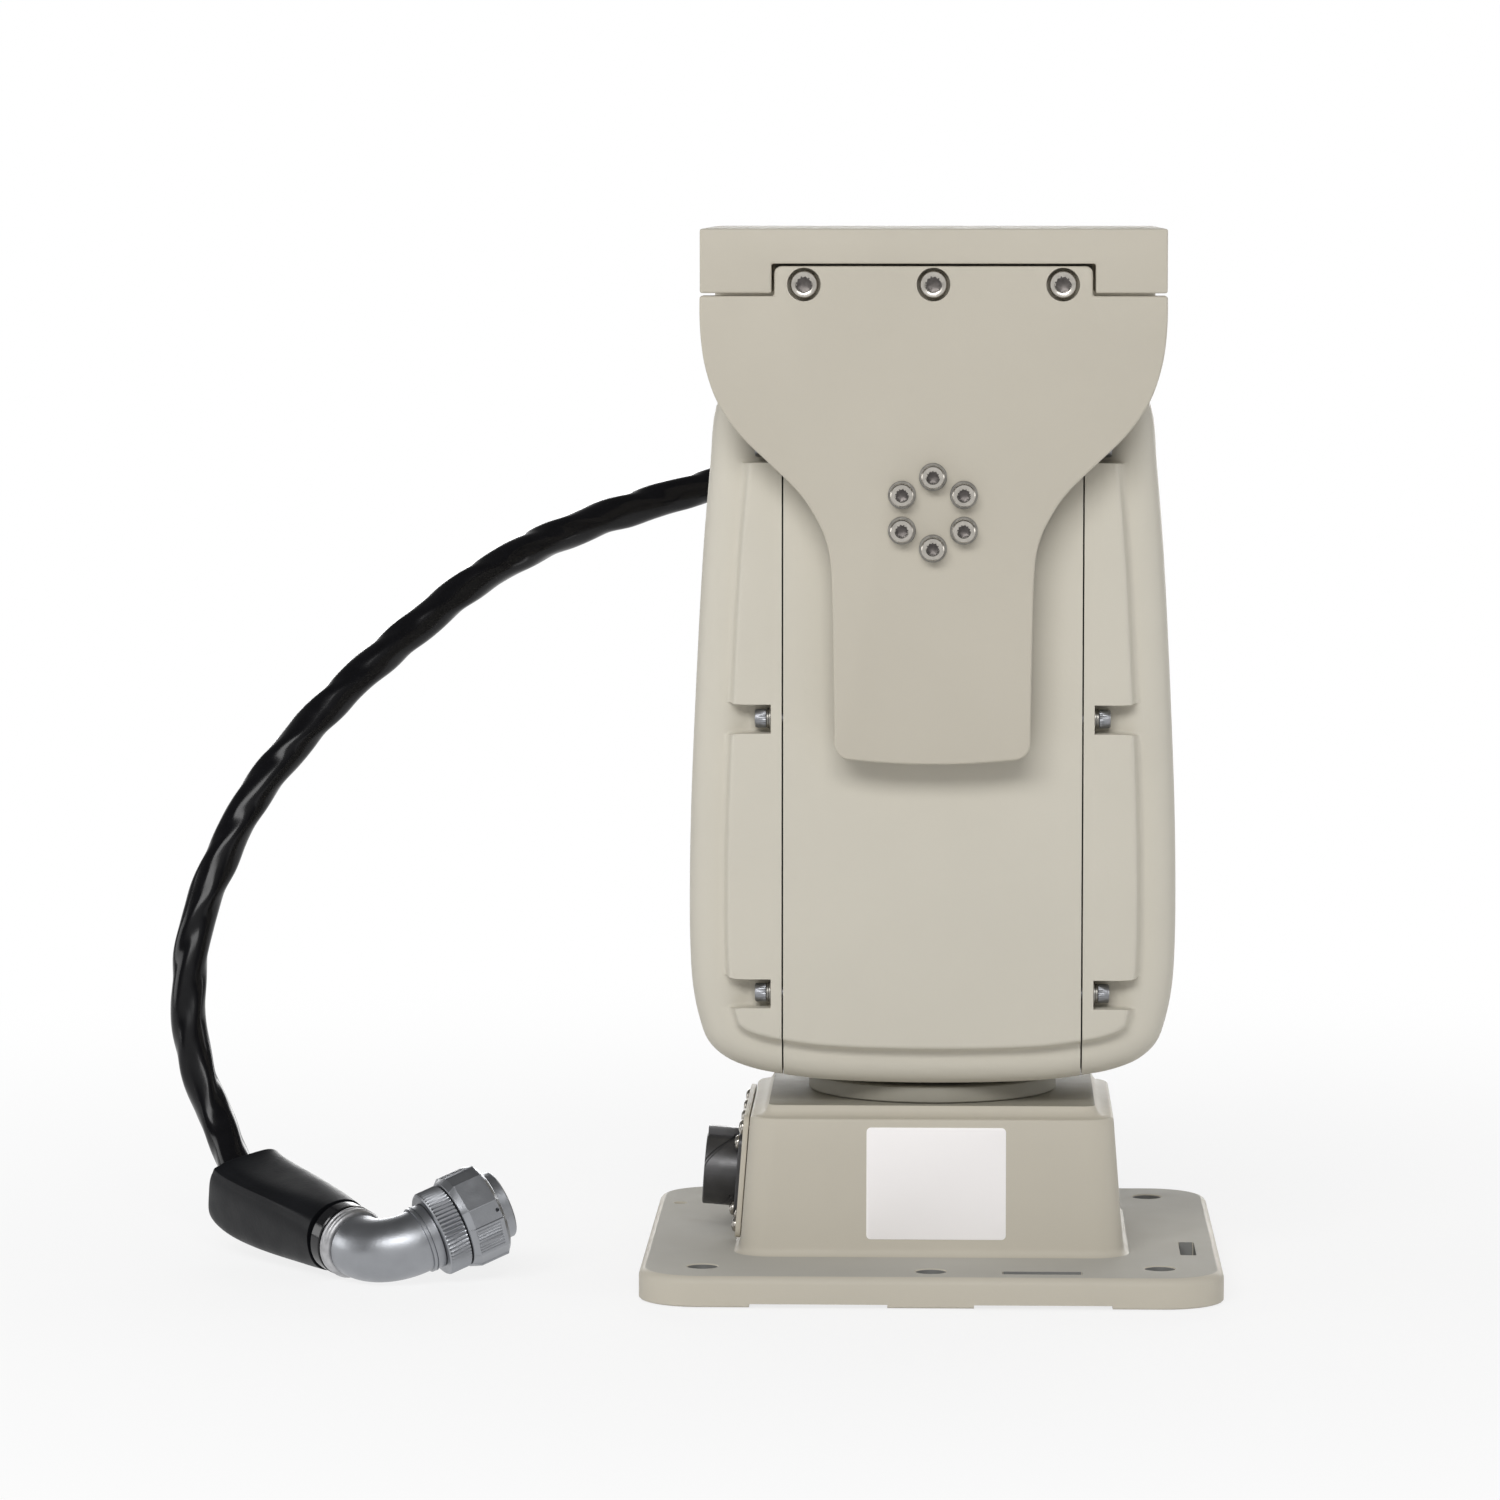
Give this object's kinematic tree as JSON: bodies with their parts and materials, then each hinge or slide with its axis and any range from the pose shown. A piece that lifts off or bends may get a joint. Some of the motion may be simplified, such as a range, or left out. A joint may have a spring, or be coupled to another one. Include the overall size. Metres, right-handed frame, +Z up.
{
  "type": "remote pan tilt head",
  "caption": "Heavy-duty motorised pan and tilt head: bolted flange base, tall slab body turning on it, yoke with a payload plate tilting on the body, and a cable with an elbow plug.",
  "frame": {"origin": "on the mounting surface, under the pan axis", "axes": "+Z up along the pan axis, front towards -Y, the base receptacle towards -X"},
  "size_m": [0.3949, 0.2818, 0.3846],
  "materials": {
    "paint": "satin warm grey-beige enamel on cast aluminium",
    "stainless": "machined stainless screws",
    "bearing_steel": "ground and oiled",
    "nickel": "satin nickel plate",
    "bronze": "machined bronze",
    "dark_shell": "dark grey anodised shell",
    "rubber": "moulded matt black",
    "sleeve": "glossy black jacket over a twisted bundle",
    "plastic": "moulded black",
    "aluminium": "bare machined",
    "board": "green solder mask",
    "label": "blank white sticker"
  },
  "bodies": {
    "base": {"base_housing": "paint", "bottom_plate": "aluminium", "interface_board": "board", "connector_panel": "paint", "base_receptacle": "dark_shell", "receptacle_insert": "plastic", "pan_spindle": "aluminium", "pan_bearing_inner_ring": "bearing_steel", "pan_worm_wheel": "bronze", "spindle_nut": "bearing_steel", "slip_ring_body": "plastic"},
    "head": {"centre_frame": "paint", "left_cover": "paint", "right_cover": "paint", "left_gasket": "rubber", "right_gasket": "rubber", "pan_bearing_outer_ring": "bearing_steel", "pan_ball_cage": "bearing_steel", "pan_lock_ring": "aluminium", "pan_seal": "rubber", "pan_gear_bracket": "aluminium", "tilt_gear_bracket": "aluminium", "pan_motor": "plastic", "tilt_motor": "plastic", "slip_ring_rotor": "plastic", "slip_ring_bracket": "stainless", "control_board": "board", "front_tilt_bearing_outer_ring": "bearing_steel", "front_tilt_ball_cage": "bearing_steel", "front_shaft_seal": "rubber", "rear_tilt_bearing_outer_ring": "bearing_steel", "rear_tilt_ball_cage": "bearing_steel", "rear_shaft_seal": "rubber", "plug_boot": "rubber", "plug_clamp_ring": "nickel", "plug_elbow": "nickel", "plug_back_ring": "nickel", "plug_barrel": "nickel", "payload_cable": "sleeve"},
    "bracket": {"top_plate": "paint", "front_arm": "paint", "rear_arm": "paint", "front_plate_screw_1": "stainless", "front_plate_screw_2": "stainless", "front_plate_screw_3": "stainless", "rear_plate_screw_1": "stainless", "rear_plate_screw_2": "stainless", "rear_plate_screw_3": "stainless", "tilt_shaft": "bearing_steel", "tilt_worm_wheel": "bronze", "front_tilt_bearing_inner_ring": "bearing_steel", "rear_tilt_bearing_inner_ring": "bearing_steel", "cable_gland": "nickel", "gland_nut": "nickel"},
    "pan_worm": {"pan_worm": "bearing_steel"},
    "tilt_worm": {"tilt_worm": "bearing_steel"},
    "coupling_nut": {"plug_coupling_nut": "nickel"}
  },
  "joints": [
    {"name": "pan", "type": "hinge", "parent": "base", "child": "head", "pos_m": [0, 0, 0.0829], "axis": [0, 0, 1], "continuous": true},
    {"name": "tilt", "type": "hinge", "parent": "head", "child": "bracket", "pos_m": [0, 0, 0.2833], "axis": [0, 1, 0], "range_deg": [-60, 60]},
    {"name": "pan_worm_spin", "type": "hinge", "parent": "head", "child": "pan_worm", "pos_m": [0, 0.03, 0.1139], "axis": [1, 0, 0], "continuous": true},
    {"name": "tilt_worm_spin", "type": "hinge", "parent": "head", "child": "tilt_worm", "pos_m": [0, 0, 0.2488], "axis": [1, 0, 0], "range_deg": [-2160, 2160]},
    {"name": "coupling_nut_turn", "type": "hinge", "parent": "head", "child": "coupling_nut", "pos_m": [-0.18824, -0.05838, 0.0152], "axis": [0.8527, 0.3912, 0.3461], "continuous": true}
  ],
  "couplings": [
    {"joint": "pan_worm_spin", "follows": "pan", "ratio": -30},
    {"joint": "tilt_worm_spin", "follows": "tilt", "ratio": 36}
  ]
}
